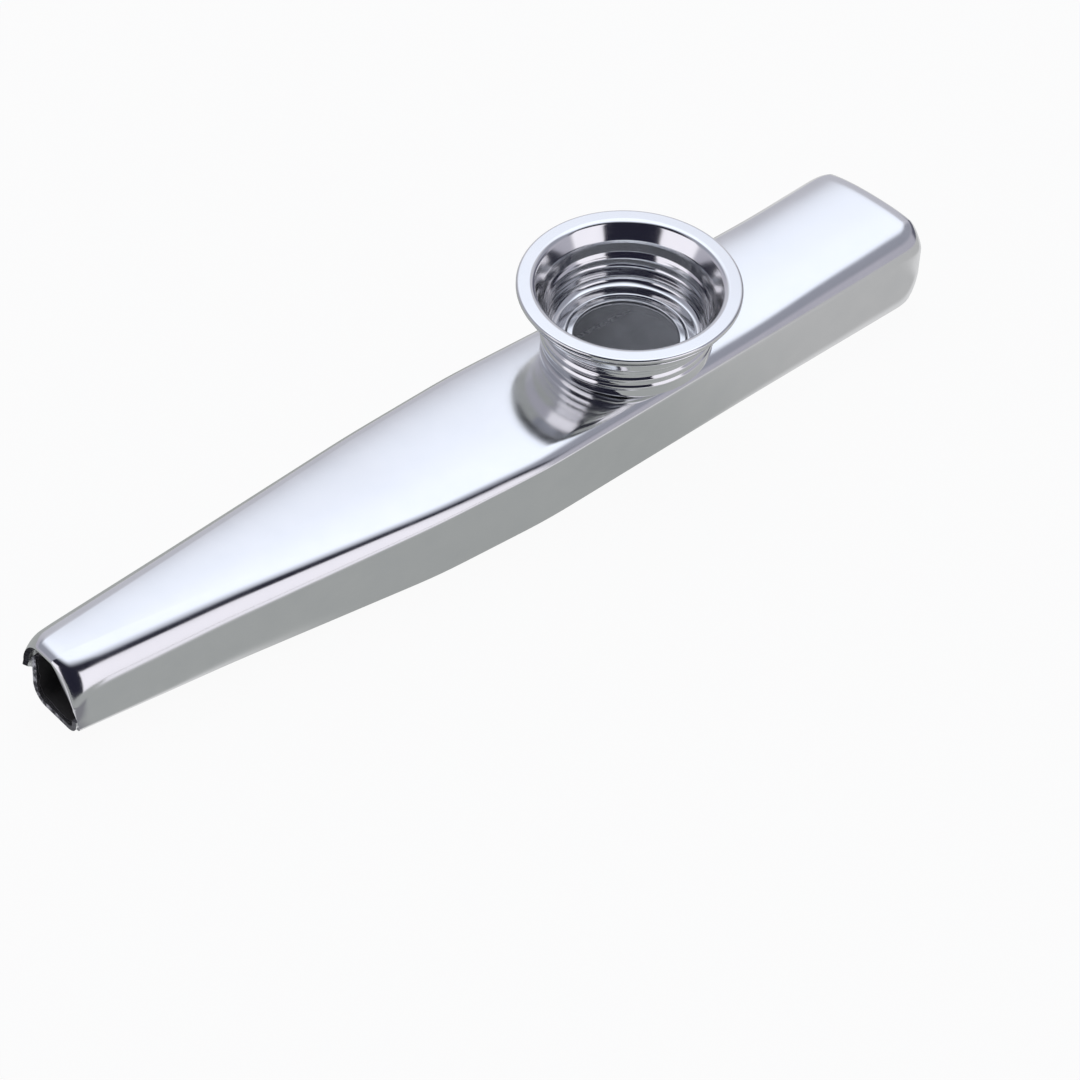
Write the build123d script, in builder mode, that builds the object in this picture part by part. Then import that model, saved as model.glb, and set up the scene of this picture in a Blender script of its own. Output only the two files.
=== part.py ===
from build123d import *
from math import cos, radians, sin
import os

os.makedirs("parts", exist_ok=True)

# A chromed sheet-metal kazoo: two nested body shells, a threaded turret and a screw cap over a membrane.
# Millimetres, +Z up, +X from the narrow tip to the mouth, origin on the ground under the body's middle.

# Body length and the stations along it, measured from the tip
body_length = 120.5
flank_at = 47.0
shoulder_at = 62.0
seat_end_at = 94.0

# Body widths at those stations
tip_width = 9.0
flank_width = 17.1
shoulder_width = 18.1
seat_end_width = 16.6
mouth_width = 16.2

# Heights of the upper face above the ground, flat where the turret sits, and of the floor at the tip
tip_top = 11.4
flank_top = 10.1
seat_top = 9.95
mouth_top = 10.9
tip_floor = 2.6

# Radius of the upper edges, fuller towards the tip
tip_edge_radius = 3.4
flank_edge_radius = 1.9
seat_edge_radius = 1.6
mouth_edge_radius = 1.4

# Body sheet, and the lid's rolled end lips, folded hems and cut corners
body_sheet = 0.45
tip_lip_radius = 1.2
mouth_lip_radius = 1.0
lip_side_share = 0.15
lip_steps = 3
hem_radius = 0.9
hem_width = 1.5
tip_cut_run = 1.0
tip_cut_rise = 3.4

# Tray that lies on the hems, inside the skirts, loose to one side at the tip and turned up at the mouth
fit_gap = 0.05
tray_wall = 4.6
tray_edge_radius = 0.6
tip_gap_near = 0.1
tip_gap_far = 1.9
mouth_setback = 1.0
stern_run = 2.2
stern_rise = 4.4
stern_turn = 70.0
stern_steps = 3

# Turret sheet, and the eyelet that clinches it through the body's sound hole
turret_at = 81.2
turret_sheet = 0.3
eyelet_radius = 6.4
clinch_width = 0.55

# Turret wall, which clears the cap's wall, and how far its flare, collar and rim stand out from it
neck_gap = 0.15
neck_height = 4.05
neck_foot_radius = 0.6
flare_width = 0.75
flare_height = 5.05
collar_width = 1.4
collar_height = 6.75
rim_width = 2.5
rim_height = 7.35
flare_bend = 0.5

# Membrane: a ring with a film on its underside
membrane_gap = 0.35
ring_width = 1.9
ring_thickness = 0.25
film_thickness = 0.08
seat_gap = 0.03

# Cap: a hemmed flange, the stepped wall below it, and a floor with a sound hole
flange_radius = 12.83
flange_width = 1.83
flange_height = 8.53
throat_width = 1.75
cap_floor_width = 3.15
cap_lip_width = 0.6
cap_lip_drop = 0.2
cap_floor_bend = 1.3
step_height = 3.95
ledge_width = 0.6
ledge_height = 5.05
bead_width = 1.15
bead_height = 6.75
hem_depth = 0.45
cap_bend = 0.4
throat_bend = 0.7

# Rolled right-hand thread shared by turret and cap
thread_pitch = 1.2
thread_start = 2.4
thread_ridge = 0.45
thread_gap = 0.12
groove_inset = 0.1
cap_turns = 1.25
ridge_turns = 2.3
groove_turns = 3.0

# How far a cut runs past the face that it opens
overrun = 1.0

# Distance from the tip, half width, upper face, floor and edge radius at each station
stations = [
    (0, tip_width / 2, tip_top, tip_floor, tip_edge_radius),
    (flank_at, flank_width / 2, flank_top, 0, flank_edge_radius),
    (shoulder_at, shoulder_width / 2, seat_top, 0, seat_edge_radius),
    (seat_end_at, seat_end_width / 2, seat_top, 0, seat_edge_radius),
    (body_length, mouth_width / 2, mouth_top, 0, mouth_edge_radius),
]


def body_at(distance):
    """Half width, upper face, floor and edge radius at a distance from the tip."""
    if distance <= 0:
        return stations[0][1:]
    for before, after in zip(stations, stations[1:]):
        if distance <= after[0]:
            part_way = (distance - before[0]) / (after[0] - before[0])
            return tuple(a + part_way * (b - a) for a, b in zip(before[1:], after[1:]))
    return stations[-1][1:]


def section_plane(distance):
    """The upright plane across the body at a distance from the tip."""
    return Plane(origin=(distance - body_length / 2, 0, 0), x_dir=(0, 1, 0), z_dir=(1, 0, 0))


def section(distance, left, right, low, high, low_radius, high_radius=0):
    """A rectangle across the body, with its lower corners rounded and, in the lid, its upper ones."""
    with BuildSketch(section_plane(distance)) as outline:
        with Locations(((left + right) / 2, (low + high) / 2)):
            Rectangle(right - left, high - low)
        fillet(outline.vertices().group_by(Axis.Y)[0], low_radius)
        if high_radius:
            fillet(outline.vertices().group_by(Axis.Y)[-1], high_radius)
    return outline.sketch


def curl(depth, lip_radius):
    """Distance from an end and drop of the top, round the rolled lip, at this depth in the sheet."""
    roll = lip_radius - depth
    turns = [radians(90 * step / lip_steps) for step in range(lip_steps + 1)]
    return [(depth + roll * (1 - sin(turn)), depth + roll * (1 - cos(turn))) for turn in turns]


def lid_stops(depth):
    """Distance and drop of each lid section, from the tip's lip to the mouth's, at this depth."""
    tip = curl(depth, tip_lip_radius)[::-1]
    middle = [(at, depth) for at in (flank_at, shoulder_at, seat_end_at)]
    mouth = [(body_length - at, drop) for at, drop in curl(depth, mouth_lip_radius)]
    return tip + middle + mouth


def lid_section(distance, drop, depth):
    half_width, top, floor, radius = body_at(distance)
    half_width -= depth + lip_side_share * (drop - depth)
    return section(
        distance, -half_width, half_width, floor + depth, top - drop, hem_radius - depth, radius - drop
    )


def slot_section(distance):
    """The open strip between the two folded hems."""
    half_width, top, floor, radius = body_at(distance)
    with BuildSketch(section_plane(distance)) as outline:
        with Locations((0, floor)):
            Rectangle(2 * (half_width - hem_width), 2 * hem_radius)
    return outline.sketch


def tray_stops(depth):
    """Distance and floor lift of each tray section, for the surface at this depth in the sheet."""
    stern_at = body_length - mouth_setback - stern_run
    straight = [(at, depth) for at in (0, flank_at, shoulder_at, seat_end_at, stern_at)]
    turns = [radians(stern_turn * step / stern_steps) for step in range(1, stern_steps + 1)]
    run = stern_run - depth
    rise = stern_rise - depth
    return straight + [(stern_at + run * sin(turn), depth + rise * (1 - cos(turn))) for turn in turns]


def tray_section(distance, lift, depth, rise):
    half_width, top, floor, radius = body_at(distance)
    half_width -= body_sheet + fit_gap + depth
    floor += body_sheet + fit_gap
    slack = max(0, 1 - distance / flank_at)
    left = -half_width + tip_gap_near * slack
    right = half_width - tip_gap_far * slack
    return section(distance, left, right, floor + lift, floor + tray_wall + rise, tray_edge_radius - depth)


# Upper shell: arched lid whose skirts fold into hems, with rolled lips and the sound hole under the turret
turret_x = turret_at - body_length / 2
lid_hole_radius = eyelet_radius + fit_gap
lid_inside = lid_stops(body_sheet)
lid_cavity = [(-overrun, tip_lip_radius)] + lid_inside + [(body_length + overrun, mouth_lip_radius)]
slot_stops = [-overrun, 0, flank_at, shoulder_at, seat_end_at, body_length, body_length + overrun]
with BuildPart() as top_shell:
    loft([lid_section(at, drop, 0) for at, drop in lid_stops(0)], ruled=True)
    loft([lid_section(at, drop, body_sheet) for at, drop in lid_cavity], ruled=True, mode=Mode.SUBTRACT)
    loft([slot_section(at) for at in slot_stops], ruled=True, mode=Mode.SUBTRACT)
    with BuildSketch(Plane.XY.offset(seat_top + overrun)):
        with Locations((turret_x, 0)):
            Circle(lid_hole_radius)
    extrude(amount=-(body_sheet + 2 * overrun), mode=Mode.SUBTRACT)
    with BuildSketch(Plane.XZ):
        with BuildLine():
            Polyline(
                (-body_length / 2 - overrun, tip_floor - overrun),
                (-body_length / 2 + tip_cut_run, tip_floor - overrun),
                (-body_length / 2 + tip_cut_run, tip_floor + body_sheet),
                (-body_length / 2, tip_floor + tip_cut_rise),
                (-body_length / 2 - overrun, tip_floor + tip_cut_rise),
                close=True,
            )
        make_face()
    extrude(amount=tip_width, both=True, mode=Mode.SUBTRACT)
    with BuildSketch(Plane.XZ):
        with Locations((body_length / 2 - stern_run, stern_rise)):
            Rectangle(stern_run + overrun, stern_rise + overrun, align=(Align.MIN, Align.MAX))
            Ellipse(stern_run, stern_rise, mode=Mode.SUBTRACT)
    extrude(amount=mouth_width, both=True, mode=Mode.SUBTRACT)
top_shell.part.label = "top_shell"
export_step(top_shell.part, "parts/top_shell.step")

# Lower shell: a shallow tray on the hems, inside the skirts
tray_inside = tray_stops(body_sheet)
tray_cavity = [(-overrun, body_sheet)] + tray_inside + [(body_length, tray_inside[-1][1])]
with BuildPart() as bottom_shell:
    loft([tray_section(at, lift, 0, 0) for at, lift in tray_stops(0)], ruled=True)
    loft(
        [tray_section(at, lift, body_sheet, overrun) for at, lift in tray_cavity],
        ruled=True,
        mode=Mode.SUBTRACT,
    )
bottom_shell.part.label = "bottom_shell"
export_step(bottom_shell.part, "parts/bottom_shell.step")

# Turret axis, the half plane for turned profiles, and the thread's own helix
turret_axis = Axis((turret_x, 0, 0), (0, 0, 1))
turret_plane = Plane(origin=(turret_x, 0, 0), x_dir=(1, 0, 0), z_dir=(0, -1, 0))
half_sheet = turret_sheet / 2
thread_low = seat_top + thread_start

# Radii that follow from the flange: the cap's wall and hole, the turret's wall round it and the membrane
cap_radius = flange_radius - flange_width - throat_width
cap_hole_radius = cap_radius - cap_floor_width
neck_radius = cap_radius + turret_sheet + neck_gap
membrane_radius = neck_radius - half_sheet - membrane_gap


def thread_solid(radius, size, low, turns, half):
    """A round or half-round bar wound on the turret axis, its centre at this radius."""
    height = thread_pitch * turns
    with BuildPart() as bar:
        with BuildLine():
            path = Helix(pitch=thread_pitch, height=height, radius=radius, center=(turret_x, 0, low))
        with BuildSketch(Plane(origin=path @ 0, x_dir=(1, 0, 0), z_dir=path % 0)):
            Circle(size)
            if half:
                Rectangle(2 * size, 2 * size, align=(Align.MAX, Align.CENTER), mode=Mode.SUBTRACT)
        sweep(path=path, is_frenet=True)
    return bar.part


def sheet_ring(points, bends):
    """A turned ring of turret sheet along a line of radii and heights above the seat."""
    with BuildPart() as ring:
        with BuildSketch(turret_plane):
            with BuildLine():
                line = [(radius, seat_top + height) for radius, height in points]
                middle = FilletPolyline(*line, radius=bends)
            trace(middle, line_width=turret_sheet)
        revolve(axis=turret_axis)
    return ring.part


# Turret: a drawn cup with a flared rim, clinched under the lid, with its thread rolled through the wall
eyelet_middle = eyelet_radius - half_sheet
clinch_height = -body_sheet - half_sheet
neck_line = [
    (eyelet_radius + clinch_width, clinch_height),
    (eyelet_middle, clinch_height),
    (eyelet_middle, half_sheet),
    (neck_radius, half_sheet),
    (neck_radius, neck_height),
    (neck_radius + flare_width, flare_height),
    (neck_radius + collar_width, collar_height),
    (neck_radius + rim_width, rim_height),
]
neck_bends = [0, 0, neck_foot_radius, flare_bend, flare_bend, flare_bend]
neck_low = thread_low - thread_pitch
with BuildPart() as turret_neck:
    add(sheet_ring(neck_line, neck_bends))
    add(thread_solid(neck_radius, thread_ridge, neck_low, ridge_turns, True))
    add(
        thread_solid(cap_radius, thread_ridge + thread_gap, neck_low, groove_turns, False),
        mode=Mode.SUBTRACT,
    )
turret_neck.part.label = "turret_neck"
export_step(turret_neck.part, "parts/turret_neck.step")

# Membrane: the film lies on the turret's floor, with the ring on top of it
film_low = seat_top + turret_sheet + seat_gap
ring_low = film_low + film_thickness
with BuildPart() as membrane_film:
    with BuildSketch(Plane.XY.offset(film_low)):
        with Locations((turret_x, 0)):
            Circle(membrane_radius)
    extrude(amount=film_thickness)
membrane_film.part.label = "membrane_film"
export_step(membrane_film.part, "parts/membrane_film.step")

with BuildPart() as membrane_ring:
    with BuildSketch(Plane.XY.offset(ring_low)):
        with Locations((turret_x, 0)):
            Circle(membrane_radius)
            Circle(membrane_radius - ring_width, mode=Mode.SUBTRACT)
    extrude(amount=ring_thickness)
membrane_ring.part.label = "membrane_ring"
export_step(membrane_ring.part, "parts/membrane_ring.step")

# Cap: a flanged cup whose floor presses the membrane ring down, with the same thread rolled into its wall
cap_floor = turret_sheet + 2 * seat_gap + film_thickness + ring_thickness + half_sheet
lip_edge = cap_hole_radius + half_sheet
cap_line = [
    (cap_hole_radius, cap_floor - cap_lip_drop),
    (lip_edge + cap_lip_width, cap_floor - cap_lip_drop),
    (lip_edge + cap_lip_width + cap_lip_drop, cap_floor),
    (cap_radius, cap_floor),
    (cap_radius, step_height),
    (cap_radius + ledge_width, ledge_height),
    (cap_radius + bead_width, bead_height),
    (cap_radius + throat_width, flange_height),
    (flange_radius - half_sheet, flange_height),
    (flange_radius - half_sheet, flange_height - hem_depth),
]
cap_bends = [0, 0, cap_floor_bend, cap_bend, cap_bend, cap_bend, throat_bend, turret_sheet]
groove_radius = cap_radius - half_sheet - groove_inset
groove_size = thread_ridge - groove_inset
with BuildPart() as cap:
    add(sheet_ring(cap_line, cap_bends))
    add(thread_solid(cap_radius, thread_ridge, thread_low, cap_turns, True))
    add(thread_solid(groove_radius, groove_size, thread_low, cap_turns, False), mode=Mode.SUBTRACT)
cap.part.label = "cap"
export_step(cap.part, "parts/cap.step")
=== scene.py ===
import math
import bmesh
import bpy
import numpy as np
from mathutils import Matrix


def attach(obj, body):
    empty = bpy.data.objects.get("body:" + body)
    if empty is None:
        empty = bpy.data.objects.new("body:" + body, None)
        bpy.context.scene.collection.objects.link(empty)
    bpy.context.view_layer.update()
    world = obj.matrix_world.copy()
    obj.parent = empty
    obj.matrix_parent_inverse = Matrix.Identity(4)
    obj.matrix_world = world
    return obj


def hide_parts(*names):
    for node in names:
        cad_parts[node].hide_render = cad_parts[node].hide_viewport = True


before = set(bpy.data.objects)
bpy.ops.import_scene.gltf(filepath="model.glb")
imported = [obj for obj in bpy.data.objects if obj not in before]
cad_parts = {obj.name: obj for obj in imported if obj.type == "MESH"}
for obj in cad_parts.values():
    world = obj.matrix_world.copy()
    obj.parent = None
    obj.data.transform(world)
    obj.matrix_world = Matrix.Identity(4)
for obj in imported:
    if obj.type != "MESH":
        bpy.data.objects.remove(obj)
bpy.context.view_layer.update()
MM = 0.001

# Upper body shell: one pressed piece of thin sheet, bright chromed, that makes the top face and both sides.
# Its lower edges fold in as hems, and its ends turn over into soft lips at the tip and at the mouth.
body_length = 120.5
body_sheet = 0.6
shell_stops = (0, 20, 47, 62, 94, 108, 120.5)
near_half_widths = (5.0, 6.08, 8.55, 9.35, 8.45, 8.2, 8.0)
far_half_widths = (4.9, 6.45, 8.65, 9.15, 8.3, 8.2, 8.45)
shell_tops = (11.5, 10.85, 10.1, 9.95, 9.97, 10.45, 10.95)
shell_floors = (3.0, 1.55, 0, 0, 0, 0, 0)
near_edge_widths = (4.1, 3.2, 2.1, 1.9, 2.1, 2.6, 2.8)
near_edge_heights = (4.4, 3.4, 1.9, 1.3, 1.6, 2.3, 2.5)
far_edge_widths = (3.3, 2.6, 1.9, 1.7, 1.8, 1.9, 1.7)
far_edge_heights = (3.6, 2.8, 1.8, 1.3, 1.6, 1.8, 1.7)
top_crown = 0.18
edge_falls = (0.34, 0.34, 0.34, 0.34, 0.4, 0.6, 0.7)
hem_radius = 0.7
hem_width = 1.5
bend_softness = 5.0


def along(values, at):
    """A size along the body, with the bends between straight runs softened."""
    stops = np.array(shell_stops, float)
    values = np.array(values, float)
    run_on = 20
    first = values[0] - (values[1] - values[0]) / (stops[1] - stops[0]) * run_on
    last = values[-1] + (values[-1] - values[-2]) / (stops[-1] - stops[-2]) * run_on
    stops = np.concatenate(([-run_on], stops, [stops[-1] + run_on]))
    values = np.concatenate(([first], values, [last]))
    offsets = np.linspace(-1, 1, 15)[1:-1]
    weights = 1 - np.abs(offsets)
    shifted = [np.interp(at + bend_softness * o, stops, values) for o in offsets]
    return np.tensordot(weights / weights.sum(), np.array(shifted), 1)


def ease(part):
    """A soft step from 0 to 1."""
    part = np.clip(part, 0, 1)
    return part * part * (3 - 2 * part)


def lip(distance, bend, depths, reaches, onset, fullness):
    """How far a lip has turned in at each point of a section.

    Depths and reaches are those of the top face, what the corners add, and those of the sides.
    """
    share = np.clip(bend / (math.pi / 2), 0, 1)
    depth = depths[0] + (depths[2] - depths[0]) * share + depths[1] * np.sin(math.pi * share)
    reach = reaches[0] + (reaches[2] - reaches[0]) * share + reaches[1] * np.sin(math.pi * share)
    left = np.clip((reach - distance) / reach, 0, 1)
    return depth * (1 - (1 - left ** onset) ** fullness)


def sheet_piece(name, rows, thickness, finishes, rounding):
    """A sheet through rows of points, thickened inwards, with its cut edges rounded and its own finish inside."""
    rows = np.array(rows, float) * MM
    down, across = rows.shape[:2]
    corner = np.arange(down * across).reshape(down, across)
    quads = np.stack([corner[:-1, :-1], corner[1:, :-1], corner[1:, 1:], corner[:-1, 1:]], -1).reshape(-1, 4)
    mesh = bpy.data.meshes.new(name)
    mesh.from_pydata(rows.reshape(-1, 3).tolist(), [], quads.tolist())
    mesh.shade_smooth()
    for finish in finishes:
        mesh.materials.append(finish)
    piece = bpy.data.objects.new(name, mesh)
    bpy.context.collection.objects.link(piece)
    wall = piece.modifiers.new("sheet", "SOLIDIFY")
    wall.thickness = thickness * MM
    wall.offset = -1
    wall.use_even_offset = True
    wall.material_offset = 1
    wall.material_offset_rim = len(finishes) - 1
    edge = piece.modifiers.new("cut_edges", "BEVEL")
    edge.width = rounding * thickness * MM
    edge.segments = 4
    edge.limit_method = "ANGLE"
    edge.angle_limit = math.radians(50)
    edge.harden_normals = True
    return piece


tip_roll_depths = {-1: (0.2, 0.3, 0.1), 1: (0.2, 0.0, 0.1)}
tip_roll_reaches = (4.2, 1.0, 3.6)
tip_lip_depths = {-1: (0.75, 0.65, 0.4), 1: (0.75, 0.1, 0.55)}
tip_lip_reaches = (1.8, 0.4, 2.0)
tip_lip_foot = 4.6
mouth_lip_depths = (0.75, 0.3, 0.9)
mouth_lip_reaches = (1.9, 0.8, 2.9)
mouth_bow = 0.5
mouth_skew = 0.85
tip_cut = (0.5, 3.4)
far_tip_cut = (3.4, 3.0)
stern_run = 2.2
stern_rise = 4.4
cut_fade = 12
bow_fade = 18


def shell_side(at, side):
    """Half a section of the upper shell, from the middle of the top over one edge to the hem."""
    from_mouth = body_length - at
    half = along(near_half_widths if side < 0 else far_half_widths, at)
    wide = along(near_edge_widths if side < 0 else far_edge_widths, at)
    tall = along(near_edge_heights if side < 0 else far_edge_heights, at)
    top = along(shell_tops, at)
    floor = along(shell_floors, at)
    edge_fall = along(edge_falls, at)
    flat = np.sin(np.linspace(0, math.pi / 2, 15))[:-1] * (half - wide)
    turn = np.linspace(0, math.pi / 2, 25)
    skirt = np.linspace(top - top_crown - edge_fall - tall, floor + hem_radius, 13)[1:]
    fold = np.linspace(0, math.pi / 2, 9)[1:]
    lap = np.linspace(0, hem_width - hem_radius, 4)[1:]
    y = np.concatenate((flat, half - wide + wide * np.sin(turn)))
    fall = np.concatenate((flat * 0, tall * (1 - np.cos(turn))))
    z = top - top_crown * (y / half) ** 2 - edge_fall * (y / half) ** 4 - fall
    y = np.concatenate((y, skirt * 0 + half, half - hem_radius + hem_radius * np.cos(fold), half - hem_radius - lap))
    z = np.concatenate((z, skirt, floor + hem_radius - hem_radius * np.sin(fold), lap * 0 + floor))
    bend = np.concatenate((flat * 0, turn, np.full(len(y) - len(flat) - len(turn), math.pi / 2)))
    fullness = 0.5 if side < 0 else 0.5 + 0.5 * ease(2 * bend)
    roll = lip(at, bend, tip_roll_depths[side], tip_roll_reaches, 2, 1)
    turned = roll + lip(at, bend, tip_lip_depths[side], tip_lip_reaches, 2, fullness)
    turned = turned * np.clip((z - tip_lip_foot) / (skirt[0] - tip_lip_foot), 0, 1)
    turned = turned + lip(from_mouth, bend, mouth_lip_depths, mouth_lip_reaches, 3, 0.5)
    y = y - turned * np.sin(bend)
    z = z - turned * np.cos(bend)
    run, rise = tip_cut if side < 0 else far_tip_cut
    tip_back = run * np.clip((floor + rise - z) / rise, 0, 1) * (1 - ease(at / cut_fade))
    low = np.clip((stern_rise - z) / stern_rise, 0, 1)
    stern_back = stern_run * (1 - np.sqrt(1 - low ** 2)) * (1 - ease(from_mouth / cut_fade))
    part = side * y / half
    bow = (mouth_bow * (1 - part ** 2) - mouth_skew * part) * (1 - ease(from_mouth / bow_fade))
    x = at - body_length / 2 + tip_back - stern_back + bow
    return np.stack((x, side * y, z), -1)


def shell_row(at):
    """A whole section of the upper shell, from the near hem over the top to the far hem."""
    return np.concatenate((shell_side(at, -1)[:0:-1], shell_side(at, 1)))


def new_finish(name):
    """A material with its node tree, its surface node and the coordinates of the piece that wears it."""
    finish = bpy.data.materials.new(name)
    finish.use_nodes = True
    tree = finish.node_tree
    where = tree.nodes.new("ShaderNodeTexCoord").outputs["Object"]
    return finish, tree, tree.nodes["Principled BSDF"], where


def math_node(tree, operation, *values):
    """A sum on numbers or on other nodes' values."""
    node = tree.nodes.new("ShaderNodeMath")
    node.operation = operation
    for socket, value in zip(node.inputs, values):
        if isinstance(value, (int, float)):
            socket.default_value = value
        else:
            tree.links.new(value, socket)
    return node.outputs[0]


def noise(tree, where, scale, detail, grain=0.5):
    """Uneven mottling over a piece."""
    node = tree.nodes.new("ShaderNodeTexNoise")
    for label, value in (("Scale", scale), ("Detail", detail), ("Roughness", grain)):
        node.inputs[label].default_value = value
    tree.links.new(where, node.inputs["Vector"])
    return node.outputs["Fac"]


def relief(tree, height, strength, depth, over=None):
    """A bump of a depth in millimetres, alone or over another one."""
    node = tree.nodes.new("ShaderNodeBump")
    node.inputs["Strength"].default_value = strength
    node.inputs["Distance"].default_value = depth * MM
    tree.links.new(height, node.inputs["Height"])
    if over:
        tree.links.new(over, node.inputs["Normal"])
    return node.outputs[0]


def mapped(tree, value, given, wanted):
    """A value carried from one range to another."""
    node = tree.nodes.new("ShaderNodeMapRange")
    for label, limit in zip(("From Min", "From Max", "To Min", "To Max"), (*given, *wanted)):
        node.inputs[label].default_value = limit
    tree.links.new(value, node.inputs["Value"])
    return node.outputs[0]


def two_tones(tree, share, low, high):
    """A colour that runs from one tone to another, each given with its position."""
    node = tree.nodes.new("ShaderNodeValToRGB")
    for stop, (position, tone) in zip(node.color_ramp.elements, (low, high)):
        stop.position = position
        stop.color = (*tone, 1)
    tree.links.new(share, node.inputs["Fac"])
    return node.outputs["Color"]


def chrome_plate(name, tint, gloss, wave_size, wave_depth):
    """Bright chrome with faint waves in the sheet, uneven gloss and hair-fine handling marks along the piece."""
    finish, tree, plate, where = new_finish(name)
    plate.inputs["Metallic"].default_value = 1.0
    waves = noise(tree, where, 1 / (wave_size * MM), 1.5)
    swell = relief(tree, waves, 1.0, wave_depth)
    stretch = tree.nodes.new("ShaderNodeMapping")
    stretch.inputs["Scale"].default_value = (160, 5200, 5200)
    stretch.inputs["Rotation"].default_value = (0, 0, math.radians(4))
    tree.links.new(where, stretch.inputs["Vector"])
    hairs = noise(tree, stretch.outputs[0], 1.0, 3.0)
    marks = relief(tree, hairs, 0.35, 0.0004, swell)
    tree.links.new(marks, plate.inputs["Normal"])
    cloud = noise(tree, where, 260, 5.0, 0.6)
    tree.links.new(mapped(tree, cloud, (0.35, 0.75), gloss), plate.inputs["Roughness"])
    clouded = [part * share for part, share in zip(tint, (0.95, 0.955, 0.96))]
    shades = two_tones(tree, cloud, (0.3, clouded), (0.7, tint))
    tree.links.new(shades, plate.inputs["Base Color"])
    return finish


def inside_with_painted_shade(name, unshaded_run):
    """The sheet's inside: chrome near the ends that turns within a short run into dull dark metal, the painted shade
    of the body's dark interior.
    """
    finish, tree, metal, where = new_finish(name)
    split = tree.nodes.new("ShaderNodeSeparateXYZ")
    tree.links.new(where, split.inputs[0])
    from_middle = math_node(tree, "ABSOLUTE", split.outputs["X"])
    blotch = noise(tree, where, 700, 4.0)
    ragged = math_node(tree, "MULTIPLY_ADD", blotch, 0.8 * MM, from_middle)
    shade_from, shade_to = body_length / 2 - unshaded_run, body_length / 2 - 0.45 * unshaded_run
    unshaded_share = mapped(tree, ragged, (shade_from * MM, shade_to * MM), (0, 1))
    # Deep inside, the dark tone is painted shade; near the ends the sheet stays bright chrome.
    tone = two_tones(tree, unshaded_share, (0, (0.085, 0.082, 0.078)), (1, (0.90, 0.90, 0.92)))
    tree.links.new(tone, metal.inputs["Base Color"])
    tree.links.new(mapped(tree, unshaded_share, (0, 1), (0.62, 0.22)), metal.inputs["Roughness"])
    tree.links.new(mapped(tree, unshaded_share, (0, 1), (0.15, 0.95)), metal.inputs["Metallic"])
    return finish


def cut_edge(name, metallic, speckle_and_glint_scale, tones, near_side_painted_tone):
    """A sheared edge speckled between two tones, and flat on the near side: painted reflection on the shell, painted
    shade on the tray.
    """
    finish, tree, steel, where = new_finish(name)
    steel.inputs["Metallic"].default_value = metallic
    steel.inputs["Roughness"].default_value = 0.4
    speckle_and_glint_noise = noise(tree, where, speckle_and_glint_scale, 3.0)
    # The speckle's light tone can carry painted glints, as it does on the tray's edge.
    tone = two_tones(tree, speckle_and_glint_noise, (0.42, tones[0]), (0.62, tones[1]))
    across = tree.nodes.new("ShaderNodeSeparateXYZ")
    tree.links.new(where, across.inputs[0])
    blend = tree.nodes.new("ShaderNodeMix")
    blend.data_type = "RGBA"
    # The near side gets one flat tone: a painted reflection on the shell's edge, painted shade on the tray's edge.
    near_side_painted_mask = mapped(tree, across.outputs["Y"], (-1.5 * MM, -3.5 * MM), (0, 1))
    tree.links.new(near_side_painted_mask, blend.inputs["Factor"])
    tree.links.new(tone, blend.inputs[6])
    blend.inputs[7].default_value = (*near_side_painted_tone, 1)
    tree.links.new(blend.outputs[2], steel.inputs["Base Color"])
    return finish


shell_edge = cut_edge("shell_edge", 1.0, 4200, ((0.06, 0.06, 0.07), (0.20, 0.20, 0.22)), (0.80, 0.80, 0.82))
body_chrome = chrome_plate("body_chrome", (0.82, 0.825, 0.835), (0.11, 0.17), 11, 0.032)
shell_inside = inside_with_painted_shade("shell_inside", 2.6)
lip_steps = 1 - np.cos(np.linspace(0, math.pi / 2, 17))
tip_lip_run, mouth_lip_run = 4.4, 5.2
tip_ats, mouth_ats = tip_lip_run * lip_steps, body_length - mouth_lip_run * lip_steps[::-1]
front_ats, seat_ats, rear_ats = np.arange(5.4, 73.5, 1.4), np.arange(73.6, 89.0, 0.4), np.arange(90.0, 115.0, 1.4)
shell_ats = np.concatenate((tip_ats, front_ats, seat_ats, rear_ats, mouth_ats))
shell_rows = [shell_row(at) for at in shell_ats]
shell_rounding = 0.2
top_shell = sheet_piece("upper_shell", shell_rows, body_sheet, (body_chrome, shell_inside, shell_edge), shell_rounding)
hole_x = 20.95
hole_radius = 6.6
hole_margin = 1.2 * hole_radius
top_face_from = 8
work = bmesh.new()
work.from_mesh(top_shell.data)
top_face = [v for v in work.verts if v.co.z > top_face_from * MM]
bored = [v for v in top_face if math.hypot(v.co.x - hole_x * MM, v.co.y) < hole_radius * MM]
bmesh.ops.delete(work, geom=bored, context="VERTS")
for corner in work.verts:
    off = math.hypot(corner.co.x - hole_x * MM, corner.co.y)
    if corner.is_boundary and corner.co.z > top_face_from * MM and off < hole_margin * MM:
        corner.co.x = hole_x * MM + (corner.co.x - hole_x * MM) * hole_radius * MM / off
        corner.co.y = corner.co.y * hole_radius * MM / off
work.to_mesh(top_shell.data)
work.free()
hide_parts("top_shell")
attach(top_shell, "body")

# Lower body shell: a shallow tray of the same sheet that lies on the hems inside the skirts.
# It is loose to the far side at the tip, where its edge shows in the outlet, and turns up at the mouth.
tray_gap = 0.05
tray_tip_sink = 0.8
tray_wall = 4.6
tray_tip_walls = (1.95, 5.9)
tray_corner = 1.4
tray_tip_corners = (1.5, 2.1)
tray_tip_gaps = (-0.6, 1.6)
tray_mouth_gap = 0.3
tray_setback = 1.0
stern_turn = 70
slack_run = 47
press_run = 3
sink_run = 12
mouth_gap_run = (6, 5)


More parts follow.
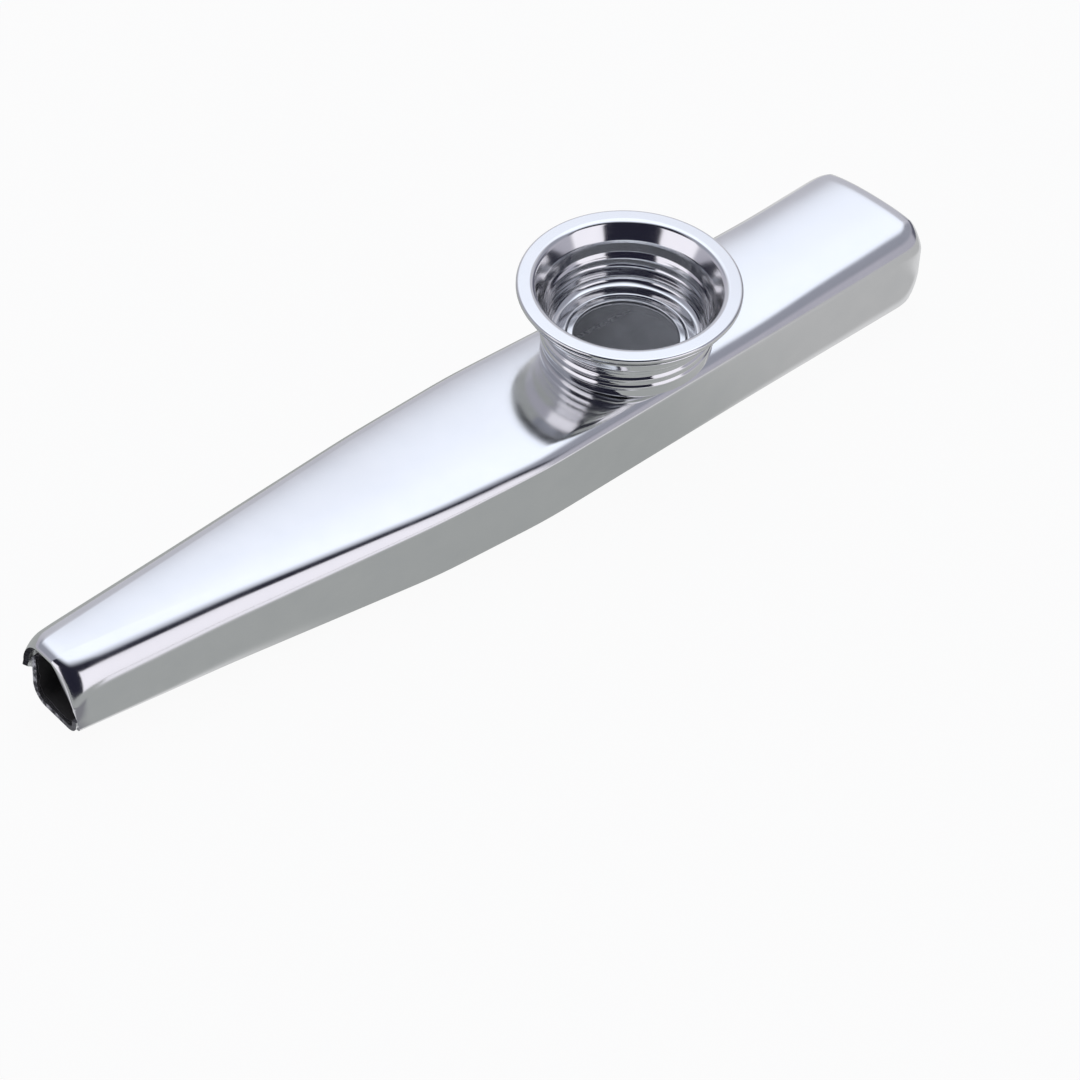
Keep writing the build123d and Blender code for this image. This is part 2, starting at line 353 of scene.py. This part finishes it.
def tray_row(at):
    """One section of the tray's outside, from its far wall's edge under the floor to its near wall's edge."""
    stern_at = body_length - tray_setback - stern_run
    turn = np.clip((at - stern_at) / stern_run, 0, 1) * math.radians(stern_turn)
    slack = max(0, 1 - at / slack_run)
    near_mouth = ease((at - body_length + mouth_gap_run[0]) / mouth_gap_run[1])
    inset = tray_tip_gaps[0] * max(0, 1 - at / press_run) + tray_mouth_gap * near_mouth
    floor = along(shell_floors, at) + body_sheet + tray_gap - tray_tip_sink * max(0, 1 - at / sink_run)
    near_brim, far_brim = (floor + tray_wall + (tip_wall - tray_wall) * slack for tip_wall in tray_tip_walls)
    low = floor + stern_rise * (1 - np.cos(turn))
    near_corner, far_corner = (tray_corner + (tip_corner - tray_corner) * slack for tip_corner in tray_tip_corners)
    left = -along(near_half_widths, at) + body_sheet + tray_gap + inset
    right = along(far_half_widths, at) - body_sheet - tray_gap - tray_tip_gaps[1] * slack - inset * (1 - slack)
    near_wall = np.linspace(near_brim, low + near_corner, 9)
    far_wall = np.linspace(low + far_corner, far_brim, 9)[1:]
    bend = np.linspace(0, math.pi / 2, 13)[1:]
    base = np.linspace(left + near_corner, right - far_corner, 13)[1:]
    near_y, near_z = left + near_corner - near_corner * np.cos(bend), low + near_corner - near_corner * np.sin(bend)
    far_y, far_z = right - far_corner + far_corner * np.sin(bend), low + far_corner - far_corner * np.cos(bend)
    y = np.concatenate((near_wall * 0 + left, near_y, base, far_y, far_wall * 0 + right))
    z = np.concatenate((near_wall, near_z, base * 0 + low, far_z, far_wall))
    x = min(at, stern_at) + stern_run * np.sin(turn) - body_length / 2
    return np.stack((y * 0 + x, y, z), -1)[::-1]


tray_chrome = chrome_plate("tray_chrome", (0.78, 0.785, 0.80), (0.10, 0.16), 9, 0.02)
# The tray's inside is painted shade almost to its edge.
tray_inside = inside_with_painted_shade("tray_inside", 0.1)
# Its bright specks are painted glints along the tray's rim, among dark speckle.
tray_edge = cut_edge("tray_edge", 0.4, 1500, ((0.12, 0.12, 0.13), (0.95, 0.95, 0.96)), (0.20, 0.20, 0.21))
tray_ats = np.concatenate((np.linspace(0, 116, 59), np.linspace(117.3, body_length - tray_setback, 9)))
tray_rows = [tray_row(at) for at in tray_ats]
tray_rounding = 0.12
bottom_shell = sheet_piece("lower_tray", tray_rows, body_sheet, (tray_chrome, tray_inside, tray_edge), tray_rounding)
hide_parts("bottom_shell")
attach(bottom_shell, "body")

# Turret: a cup drawn from thin sheet, clinched through the body's sound hole, with a flared rim.
# Its screw thread is rolled through the wall, so that it shows as ridges outside and grooves inside.
turret_x = hole_x
seat = 9.95
turret_sheet = 0.3
thread_pitch = 1.2
turn_segments = 180
profile_step = 0.09


def bent_line(points, radii):
    """Points along a line of straight runs whose corners are rounded."""
    points = [np.array(p, float) for p in points]
    line = [points[0]]
    for before, corner, after, radius in zip(points, points[1:], points[2:], radii):
        into, out = before - corner, after - corner
        into, out = into / np.hypot(*into), out / np.hypot(*out)
        opening = math.acos(np.clip(into @ out, -1, 1))
        if radius and opening < math.pi - 0.01:
            reach = radius / math.tan(opening / 2)
            middle = into + out
            centre = corner + middle / np.hypot(*middle) * radius / math.sin(opening / 2)
            start, end = corner + into * reach - centre, corner + out * reach - centre
            sweep = math.pi - opening
            arc_step = 0.12
            for share in np.linspace(0, 1, max(4, int(sweep / arc_step))):
                from_start, from_end = math.sin((1 - share) * sweep), math.sin(share * sweep)
                line.append(centre + (from_start * start + from_end * end) / math.sin(sweep))
        else:
            line.append(corner)
    line.append(points[-1])
    return line


def fine_line(points, step):
    """The same line with no run longer than a step."""
    line = [points[0]]
    for before, after in zip(points, points[1:]):
        count = max(1, math.ceil(np.hypot(*(after - before)) / step))
        line += [before + (after - before) * (k + 1) / count for k in range(count)]
    return line


def turned_tree(name):
    """Turns a profile round the turret's axis and rolls a right-hand thread into its wall."""
    group = bpy.data.node_groups.new(name, "GeometryNodeTree")
    face = group.interface
    face.new_socket("Geometry", in_out="INPUT", socket_type="NodeSocketGeometry")
    for label in ("Axis X", "Thread Pitch", "Thread Low", "Thread High", "Thread Depth"):
        face.new_socket(label, in_out="INPUT", socket_type="NodeSocketFloat")
    face.new_socket("Segments", in_out="INPUT", socket_type="NodeSocketInt")
    face.new_socket("Material", in_out="INPUT", socket_type="NodeSocketMaterial")
    face.new_socket("Geometry", in_out="OUTPUT", socket_type="NodeSocketGeometry")
    nodes, links = group.nodes, group.links
    given = nodes.new("NodeGroupInput")

    def calc(operation, *values):
        return math_node(group, operation, *values)

    def step_node(value, low, high):
        node = nodes.new("ShaderNodeMapRange")
        node.interpolation_type = "SMOOTHSTEP"
        for label, source in (("Value", value), ("From Min", low), ("From Max", high)):
            links.new(source, node.inputs[label])
        return node.outputs["Result"]

    rows = nodes.new("GeometryNodeAttributeDomainSize")
    links.new(given.outputs["Geometry"], rows.inputs[0])
    grid = nodes.new("GeometryNodeMeshGrid")
    links.new(calc("ADD", given.outputs["Segments"], 1), grid.inputs["Vertices X"])
    links.new(rows.outputs["Point Count"], grid.inputs["Vertices Y"])
    place = nodes.new("GeometryNodeInputPosition")
    apart = nodes.new("ShaderNodeSeparateXYZ")
    links.new(place.outputs[0], apart.inputs[0])
    around = calc("ADD", apart.outputs["X"], 0.5)
    last_row = calc("SUBTRACT", rows.outputs["Point Count"], 1)
    row = calc("ROUND", calc("MULTIPLY", calc("ADD", apart.outputs["Y"], 0.5), last_row))
    profile = nodes.new("GeometryNodeSampleIndex")
    profile.data_type = "FLOAT_VECTOR"
    links.new(given.outputs["Geometry"], profile.inputs["Geometry"])
    links.new(place.outputs[0], profile.inputs["Value"])
    links.new(row, profile.inputs["Index"])
    point = nodes.new("ShaderNodeSeparateXYZ")
    links.new(profile.outputs[0], point.inputs[0])
    height = point.outputs["Z"]
    rise = calc("DIVIDE", calc("SUBTRACT", height, given.outputs["Thread Low"]), given.outputs["Thread Pitch"])
    phase = calc("MULTIPLY", calc("SUBTRACT", rise, around), math.tau)
    sharper = calc("MULTIPLY", calc("COSINE", calc("MULTIPLY", phase, 2)), 0.45)
    wave = calc("ADD", calc("COSINE", phase), sharper)
    low_end = calc("ADD", given.outputs["Thread Low"], given.outputs["Thread Pitch"])
    high_start = calc("SUBTRACT", given.outputs["Thread High"], given.outputs["Thread Pitch"])
    fade_in = step_node(height, given.outputs["Thread Low"], low_end)
    fade_out = calc("SUBTRACT", 1, step_node(height, high_start, given.outputs["Thread High"]))
    fade = calc("MULTIPLY", fade_in, fade_out)
    ridge = calc("MULTIPLY", calc("MULTIPLY", wave, given.outputs["Thread Depth"]), fade)
    radius = calc("ADD", point.outputs["X"], ridge)
    angle = calc("MULTIPLY", around, math.tau)
    moved = nodes.new("ShaderNodeCombineXYZ")
    out_x = calc("MULTIPLY", radius, calc("COSINE", angle))
    links.new(calc("ADD", out_x, given.outputs["Axis X"]), moved.inputs["X"])
    links.new(calc("MULTIPLY", radius, calc("SINE", angle)), moved.inputs["Y"])
    links.new(height, moved.inputs["Z"])
    turn = nodes.new("GeometryNodeSetPosition")
    links.new(grid.outputs["Mesh"], turn.inputs["Geometry"])
    links.new(moved.outputs[0], turn.inputs["Position"])
    seam = nodes.new("GeometryNodeMergeByDistance")
    seam.inputs["Distance"].default_value = 1e-6
    links.new(turn.outputs[0], seam.inputs["Geometry"])
    smooth = nodes.new("GeometryNodeSetShadeSmooth")
    links.new(seam.outputs[0], smooth.inputs["Geometry"])
    real = nodes.new("GeometryNodeRealizeInstances")
    links.new(smooth.outputs[0], real.inputs[0])
    finish = nodes.new("GeometryNodeSetMaterial")
    links.new(real.outputs[0], finish.inputs["Geometry"])
    links.new(given.outputs["Material"], finish.inputs["Material"])
    out = nodes.new("NodeGroupOutput")
    links.new(finish.outputs[0], out.inputs[0])
    return group


def turned_piece(name, profile, thread, material, thickness):
    """A turned and threaded sheet.

    The profile holds radii and heights, and the thread its low end, high end and depth, all in millimetres.
    """
    mesh = bpy.data.meshes.new(name + "_profile")
    points = [(r * MM, 0, z * MM) for r, z in profile]
    mesh.from_pydata(points, [(k, k + 1) for k in range(len(profile) - 1)], [])
    maker = bpy.data.objects.new(name + "_profile", mesh)
    bpy.context.collection.objects.link(maker)
    turning = maker.modifiers.new("turning", "NODES")
    turning.node_group = turned_sheet
    sizes = {
        "Axis X": turret_x * MM,
        "Thread Pitch": thread_pitch * MM,
        "Thread Low": thread[0] * MM,
        "Thread High": thread[1] * MM,
        "Thread Depth": thread[2] * MM,
        "Segments": turn_segments,
        "Material": material,
    }
    for socket in turned_sheet.interface.items_tree:
        if socket.in_out == "INPUT" and socket.name in sizes:
            turning[socket.identifier] = sizes[socket.name]
    bpy.context.view_layer.update()
    made = bpy.data.meshes.new_from_object(maker.evaluated_get(bpy.context.evaluated_depsgraph_get()))
    made.name = name
    bpy.data.objects.remove(maker)
    piece = bpy.data.objects.new(name, made)
    bpy.context.collection.objects.link(piece)
    wall = piece.modifiers.new("sheet", "SOLIDIFY")
    wall.thickness = thickness * MM
    wall.offset = 0
    wall.use_even_offset = True
    return piece


turned_sheet = turned_tree("turned_threaded_sheet")
turret_chrome = chrome_plate("turret_chrome", (0.82, 0.825, 0.835), (0.06, 0.10), 5, 0.006)
neck_line = [
    (6.95, -0.6), (6.25, -0.6), (6.25, 0.15), (9.7, 0.15),
    (9.7, 4.05), (10.45, 5.05), (11.1, 6.75), (12.2, 7.35),
]
neck_bends = [0, 0, 0.6, 0.5, 0.5, 0.5]
neck_profile = fine_line(bent_line(neck_line, neck_bends), profile_step)
neck_profile = [(r, z + seat) for r, z in neck_profile]
neck_thread = (seat + 1.0, seat + 5.4, 0.11)
turret_neck = turned_piece("turret_neck_wall", neck_profile, neck_thread, turret_chrome, turret_sheet)
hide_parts("turret_neck")
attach(turret_neck, "body")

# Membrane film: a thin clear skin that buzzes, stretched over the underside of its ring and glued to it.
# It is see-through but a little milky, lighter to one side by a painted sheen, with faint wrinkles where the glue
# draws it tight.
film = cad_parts["membrane_film"]
film_skin, film_tree, skin, where = new_finish("membrane_skin")
skin.inputs["Alpha"].default_value = 0.2
milk = noise(film_tree, where, 320, 3.0)
film_parts = film_tree.nodes.new("ShaderNodeSeparateXYZ")
film_tree.links.new(where, film_parts.inputs[0])
# One side of the film is made lighter: a painted sheen laid over the milky mottling.
sheen_side = mapped(film_tree, film_parts.outputs["X"], (15 * MM, 28 * MM), (0, 0.5))
milk_and_sheen = math_node(film_tree, "MULTIPLY_ADD", milk, 0.5, sheen_side)
milk_and_sheen_tone = two_tones(film_tree, milk_and_sheen, (0.2, (0.32, 0.325, 0.335)), (0.75, (0.86, 0.865, 0.89)))
film_tree.links.new(milk_and_sheen_tone, skin.inputs["Base Color"])
film_tree.links.new(mapped(film_tree, milk, (0, 1), (0.5, 0.65)), skin.inputs["Roughness"])
film_tree.links.new(relief(film_tree, milk, 0.25, 0.02), skin.inputs["Normal"])
film.data.materials.clear()
film.data.materials.append(film_skin)

# Membrane ring: the stiff white washer, die-cut from card, that carries the film.
# The cap's floor presses it down on the turret's floor, so only its edge ever shows.
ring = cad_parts["membrane_ring"]
ring_white, ring_tree, card, where = new_finish("ring_white")
card.inputs["Roughness"].default_value = 0.62
fibres = noise(ring_tree, where, 2600, 5.0)
card_tone = two_tones(ring_tree, fibres, (0.3, (0.76, 0.75, 0.77)), (0.7, (0.86, 0.85, 0.88)))
ring_tree.links.new(card_tone, card.inputs["Base Color"])
ring_tree.links.new(relief(ring_tree, fibres, 0.3, 0.03), card.inputs["Normal"])
ring.data.materials.clear()
ring.data.materials.append(ring_white)

# Cap: a cup drawn from thin sheet with a hemmed flange, screwed into the turret by the same rolled thread.
# Its floor has a rounded lip round the sound hole and presses the membrane down.
# Its thread starts one pitch above the turret's, so that their ridges lie in each other.
cap_chrome = chrome_plate("cap_chrome", (0.84, 0.845, 0.855), (0.10, 0.15), 5, 0.004)
cap_line = [
    (6.1, 0.64), (6.85, 0.64), (7.05, 0.84), (9.25, 0.84), (9.25, 4.55),
    (9.7, 5.15), (9.8, 6.55), (10.95, 8.53), (12.68, 8.53), (12.68, 8.15),
]
cap_bends = [0.1, 0.1, 1.3, 0.3, 0.3, 1.4, 0.6, 0.12]
cap_profile = fine_line(bent_line(cap_line, cap_bends), profile_step)
cap_profile = [(r, z + seat) for r, z in cap_profile]
cap_thread = (seat + 2.2, seat + 5.1, 0.1)
cap = turned_piece("screw_cap", cap_profile, cap_thread, cap_chrome, turret_sheet)
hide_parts("cap")
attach(cap, "cap")

# Studio: a white floor, soft light overhead and on both sides of the camera, and the camera at the photograph's angle.
# The room is a plain procedural world, because bright chrome shows little but the lights and walls round it.
# The floor itself looks white; the greys that it gives the chrome to mirror are painted shade and shadow, placed round
# the body in millimetres.
floor_reach = 1.2
panel_white = (1.06, 1.03, 1.11)
floor_corners = ((-1, -1), (1, -1), (1, 1), (-1, 1))
floor_mesh = bpy.data.meshes.new("floor")
floor_mesh.from_pydata([(x * floor_reach, y * floor_reach, 0) for x, y in floor_corners], [], [(0, 1, 2, 3)])
floor = bpy.data.objects.new("floor", floor_mesh)
bpy.context.collection.objects.link(floor)
floor_white = bpy.data.materials.new("floor_white")
floor_white.use_nodes = True
stage_tree = floor_white.node_tree
nodes, links = stage_tree.nodes, stage_tree.links
nodes.clear()


def stage_math(operation, *values):
    """A sum for the floor or the room, whichever is being built."""
    return math_node(stage_tree, operation, *values)


def stage_edge(value, at, soft):
    """0 below an edge and 1 above it, with a soft change."""
    node = nodes.new("ShaderNodeMapRange")
    node.interpolation_type = "SMOOTHSTEP"
    links.new(value, node.inputs["Value"])
    node.inputs["From Min"].default_value = at - soft
    node.inputs["From Max"].default_value = at + soft
    return node.outputs["Result"]


def stage_under(value, at, soft):
    """1 below an edge and 0 above it."""
    return stage_math("SUBTRACT", 1, stage_edge(value, at, soft))


def stage_all(first, *others):
    """1 where every mask is 1."""
    for mask in others:
        first = stage_math("MULTIPLY", first, mask)
    return first


def stage_layer(under, mask, colour):
    """A colour laid over another where a mask is 1."""
    node = nodes.new("ShaderNodeMix")
    node.data_type = "RGBA"
    links.new(mask, node.inputs["Factor"])
    if isinstance(under, tuple):
        node.inputs[6].default_value = (*under, 1)
    else:
        links.new(under, node.inputs[6])
    node.inputs[7].default_value = (*colour, 1)
    return node.outputs[2]


spot = nodes.new("ShaderNodeTexCoord")
spot_parts = nodes.new("ShaderNodeSeparateXYZ")
links.new(spot.outputs["Object"], spot_parts.inputs[0])
floor_x = stage_math("DIVIDE", spot_parts.outputs["X"], MM)
floor_y = stage_math("DIVIDE", spot_parts.outputs["Y"], -MM)
# Painted shade for the chrome to mirror: greys round the body, a painted shadow darkest under the tip, paler patches
# by the hems and ends.
floor_with_painted_shade = stage_layer((0.41, 0.423, 0.416), stage_edge(floor_x, 34, 16), (0.54, 0.54, 0.538))
past_tip = stage_under(floor_x, -57.5, 1.2)
beside_lip = stage_all(stage_edge(floor_y, 1, 3), stage_under(floor_y, 28, 8), past_tip)
floor_with_painted_shade = stage_layer(floor_with_painted_shade, beside_lip, (0.23, 0.23, 0.25))
ahead_of_tip = stage_all(stage_edge(floor_y, 1, 3), stage_under(floor_y, 14, 4), stage_under(floor_x, -64, 2))
floor_with_painted_shade = stage_layer(floor_with_painted_shade, ahead_of_tip, (0.74, 0.73, 0.76))
under_tip = stage_all(stage_under(floor_y, 0.5, 2), stage_edge(floor_y, -12, 3))
under_tip = stage_all(under_tip, stage_under(floor_x, -60.5, 1), stage_edge(floor_x, -75, 4))
floor_with_painted_shade = stage_layer(floor_with_painted_shade, under_tip, (0.10, 0.10, 0.11))
past_mouth = stage_all(stage_edge(floor_x, 64.5, 1.5), stage_under(floor_y, 13, 3))
floor_with_painted_shade = stage_layer(floor_with_painted_shade, past_mouth, (0.76, 0.76, 0.76))
from_flank = stage_math("SUBTRACT", floor_y, stage_math("MULTIPLY", floor_x, 0.075))
by_hem = stage_all(stage_under(from_flank, 11.2, 0.6), stage_under(floor_x, -36, 14), stage_edge(floor_y, 4, 1))
floor_with_painted_shade = stage_layer(floor_with_painted_shade, by_hem, (0.80, 0.80, 0.80))
by_rear_hem = stage_all(stage_under(floor_y, 9, 0.4), stage_edge(floor_x, 30, 15), stage_edge(floor_y, 6, 1))
floor_with_painted_shade = stage_layer(floor_with_painted_shade, by_rear_hem, (0.78, 0.78, 0.78))
beside_tip = stage_math("SUBTRACT", stage_math("ADD", floor_x, 61.5), stage_math("MULTIPLY", floor_y, 0.3))
open_floor = stage_all(stage_edge(floor_y, 51, 19), stage_under(floor_x, 65, 20), stage_edge(beside_tip, 1.5, 4.5))
floor_with_painted_shade = stage_layer(floor_with_painted_shade, open_floor, panel_white)
path = nodes.new("ShaderNodeLightPath")
floor_with_painted_shade = stage_layer(floor_with_painted_shade, path.outputs["Is Camera Ray"], (1, 1, 1))
paper_glow = nodes.new("ShaderNodeEmission")
links.new(floor_with_painted_shade, paper_glow.inputs["Color"])
paper_matt = nodes.new("ShaderNodeBsdfDiffuse")
paper_matt.inputs["Color"].default_value = (0.86, 0.86, 0.85, 1)
glow_share = 0.94
seen = stage_math("ADD", path.outputs["Is Camera Ray"], path.outputs["Is Glossy Ray"])
seen = stage_math("MULTIPLY", stage_math("ADD", seen, path.outputs["Is Transmission Ray"]), glow_share)
white_mix = nodes.new("ShaderNodeMixShader")
links.new(seen, white_mix.inputs["Fac"])
links.new(paper_matt.outputs[0], white_mix.inputs[1])
links.new(paper_glow.outputs[0], white_mix.inputs[2])
links.new(white_mix.outputs[0], nodes.new("ShaderNodeOutputMaterial").inputs["Surface"])
floor_mesh.materials.append(floor_white)

world = bpy.data.worlds.new("studio_room")
bpy.context.scene.world = world
world.use_nodes = True
stage_tree = world.node_tree
nodes, links = stage_tree.nodes, stage_tree.links
nodes.clear()
camera_turn = math.radians(227.1)
camera_x, camera_y = math.cos(camera_turn), math.sin(camera_turn)
look = nodes.new("ShaderNodeTexCoord")
split = nodes.new("ShaderNodeSeparateXYZ")
links.new(look.outputs["Generated"], split.inputs[0])
rx, ry, rz = (split.outputs[axis] for axis in "XYZ")
ahead = stage_math("ADD", stage_math("MULTIPLY", rx, camera_x), stage_math("MULTIPLY", ry, camera_y))
aside = stage_math("SUBTRACT", stage_math("MULTIPLY", ry, camera_x), stage_math("MULTIPLY", rx, camera_y))
bearing = stage_math("MULTIPLY", stage_math("ARCTAN2", aside, ahead), 180 / math.pi)
spread = stage_math("ABSOLUTE", bearing)
height = stage_math("MULTIPLY", stage_math("ARCSINE", rz), 180 / math.pi)
above = stage_math("MAXIMUM", rz, 0.02)
over_x, over_y = stage_math("DIVIDE", rx, above), stage_math("DIVIDE", ry, above)
room = stage_layer((0.335, 0.345, 0.405), stage_under(height, 26, 7), (0.47, 0.46, 0.53))
room = stage_layer(room, stage_edge(spread, 140, 12), (0.58, 0.58, 0.64))
doorway = stage_all(stage_edge(bearing, 105, 6), stage_under(bearing, 157, 6), stage_under(height, 22, 6))
room = stage_layer(room, doorway, (0.13, 0.13, 0.17))
low_side = stage_all(stage_edge(bearing, 71, 3), stage_under(height, 27, 6))
dark = stage_all(stage_edge(bearing, -75, 3), stage_under(bearing, 79, 3), stage_math("SUBTRACT", 1, low_side))
room = stage_layer(room, dark, (0.018, 0.018, 0.032))
right_panel = stage_all(stage_edge(bearing, 33, 1.5), stage_under(bearing, 71, 3), stage_under(height, 38, 2.5))
room = stage_layer(room, right_panel, panel_white)
left_panel = stage_all(stage_edge(bearing, -78, 3), stage_under(bearing, -33, 1.5), stage_under(height, 34, 4))
room = stage_layer(room, left_panel, panel_white)
over_side = stage_math("SUBTRACT", over_x, stage_math("MULTIPLY", over_y, 0.215))
overhead = stage_all(stage_edge(over_y, -0.42, 0.34), stage_under(over_y, 1.0, 0.42), stage_edge(rz, 0.1, 0.05))
overhead = stage_all(overhead, stage_edge(over_side, -0.30, 0.25), stage_under(over_side, 0.70, 0.10))
room = stage_layer(room, overhead, (1.17, 1.23, 1.37))
glow = nodes.new("ShaderNodeBackground")
links.new(room, glow.inputs["Color"])
clear = nodes.new("ShaderNodeBackground")
clear.inputs["Color"].default_value = (1, 1, 1, 1)
path = nodes.new("ShaderNodeLightPath")
behind = nodes.new("ShaderNodeMixShader")
links.new(path.outputs["Is Camera Ray"], behind.inputs["Fac"])
links.new(glow.outputs[0], behind.inputs[1])
links.new(clear.outputs[0], behind.inputs[2])
links.new(behind.outputs[0], nodes.new("ShaderNodeOutputWorld").inputs["Surface"])

eye = bpy.data.cameras.new("camera")
sensor_width, focal_pixels, frame_pixels = 36, 4414.3, 1080
eye.sensor_width = sensor_width
eye.lens = sensor_width * focal_pixels / frame_pixels
camera = bpy.data.objects.new("camera", eye)
bpy.context.collection.objects.link(camera)
azimuth, elevation, tilt = math.radians(-42.88), math.radians(44.78), math.radians(3.18)
ground_reach = math.cos(elevation)
back = np.array((math.sin(azimuth) * ground_reach, -math.cos(azimuth) * ground_reach, math.sin(elevation)))
level = np.array((math.cos(azimuth), math.sin(azimuth), 0))
upward = np.cross(back, level)
side = math.cos(tilt) * level + math.sin(tilt) * upward
lift = -math.sin(tilt) * level + math.cos(tilt) * upward
aim, shift_side, shift_lift, distance = np.array((-0.25, 0, 8)), 6.39, -11.97, 493.37
stand = aim + shift_side * side + shift_lift * lift + distance * back
columns = (side, lift, back, stand * MM)
camera.matrix_world = Matrix([[float(c[k]) for c in columns] for k in range(3)] + [[0, 0, 0, 1]])
eye.clip_start = 0.01
bpy.context.scene.camera = camera
bpy.context.scene.view_settings.view_transform = "Standard"
